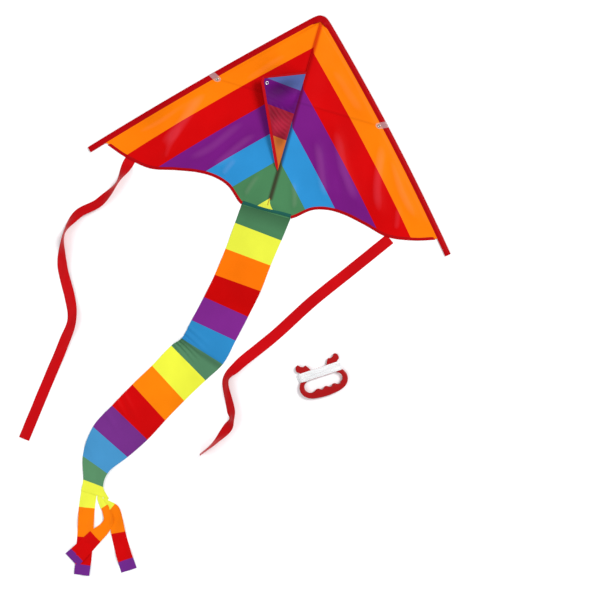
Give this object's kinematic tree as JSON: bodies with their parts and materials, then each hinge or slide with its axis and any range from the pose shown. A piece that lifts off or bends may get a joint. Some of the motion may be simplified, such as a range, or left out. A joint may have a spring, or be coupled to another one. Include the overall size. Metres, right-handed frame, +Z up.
{
  "type": "delta kite",
  "caption": "Child's delta kite lying keel side up, with a striped sail, fabric keel, long split tail, side ribbons and a hand reel of line.",
  "frame": {"origin": "middle of the laid-out kite's footprint, on the surface that it lies on", "axes": "+Z up out of the sail's keel side, +Y along the spine towards the nose, +X towards the right wing tip"},
  "size_m": [1.01, 1.6158, 0.0395],
  "materials": {
    "striped_cloth": "thin smooth woven polyester printed in wide bands of orange, red, purple, blue, green and yellow",
    "red_binding": "folded dark red woven binding tape, machine stitched",
    "seam_tape": "doubled dark green seam of the tail's head",
    "red_ribbon": "thin glossy red ribbon",
    "rod": "white glass-fibre rod",
    "clear_vinyl": "soft clear vinyl",
    "rivet_metal": "plated hollow rivet",
    "reel_plastic": "moulded red plastic, soft gloss",
    "kite_line": "white twisted line"
  },
  "bodies": {
    "frame": {"sail_center": "striped_cloth", "spine_rod": "rod", "spine_sleeve": "red_binding", "nose_patch": "red_binding", "spreader_rod": "rod", "tail_seam": "seam_tape"},
    "left_wing": {"sail_left": "striped_cloth", "left_edge_sleeve": "red_binding", "left_edge_rod": "rod", "left_connector": "clear_vinyl", "left_connector_rivet": "rivet_metal", "left_hem": "red_binding"},
    "right_wing": {"sail_right": "striped_cloth", "right_edge_sleeve": "red_binding", "right_edge_rod": "rod", "right_connector": "clear_vinyl", "right_connector_rivet": "rivet_metal", "right_hem": "red_binding"},
    "keel": {"keel": "striped_cloth", "keel_top_hem": "red_binding", "keel_binding": "red_binding", "keel_eyelet": "rivet_metal"},
    "tail": {"tail": "striped_cloth", "tail_streamer_left": "striped_cloth", "tail_streamer_middle": "striped_cloth", "tail_streamer_right": "striped_cloth"},
    "left_ribbon": {"ribbon_left": "red_ribbon"},
    "right_ribbon": {"ribbon_right": "red_ribbon"},
    "reel": {"reel_handle": "reel_plastic", "line_winding": "kite_line", "line_end": "kite_line"}
  },
  "joints": [
    {"name": "left_wing_flex", "type": "hinge", "parent": "frame", "child": "left_wing", "pos_m": [0.00031, 0.80544, 0.01145], "axis": [0.1274, 0.9917, 0.0147], "range_deg": [0, 12], "deforming": ["spreader_rod"]},
    {"name": "right_wing_flex", "type": "hinge", "parent": "frame", "child": "right_wing", "pos_m": [0.00031, 0.80544, 0.01145], "axis": [0.1274, -0.9917, -0.0147], "range_deg": [0, 12], "deforming": ["spreader_rod"]},
    {"name": "keel_swing", "type": "hinge", "parent": "frame", "child": "keel", "pos_m": [0.00031, 0.51543, 0.01175], "axis": [0, 1, 0], "range_deg": [0, 152]},
    {"name": "tail_lift", "type": "hinge", "parent": "frame", "child": "tail", "pos_m": [0.00031, 0.26373, 0.00295], "axis": [-1, 0, 0], "range_deg": [0, 60]},
    {"name": "left_ribbon_lift", "type": "hinge", "parent": "left_wing", "child": "left_ribbon", "pos_m": [-0.38869, 0.28943, 0.00215], "axis": [-1, 0, 0], "range_deg": [0, 40]},
    {"name": "right_ribbon_lift", "type": "hinge", "parent": "right_wing", "child": "right_ribbon", "pos_m": [0.33531, 0.28543, 0.00215], "axis": [-1, 0, 0], "range_deg": [0, 40]},
    {"name": "reel_lift", "type": "slide", "parent": "frame", "child": "reel", "axis": [0, 0, 1], "range_m": [0, 0.3]}
  ]
}
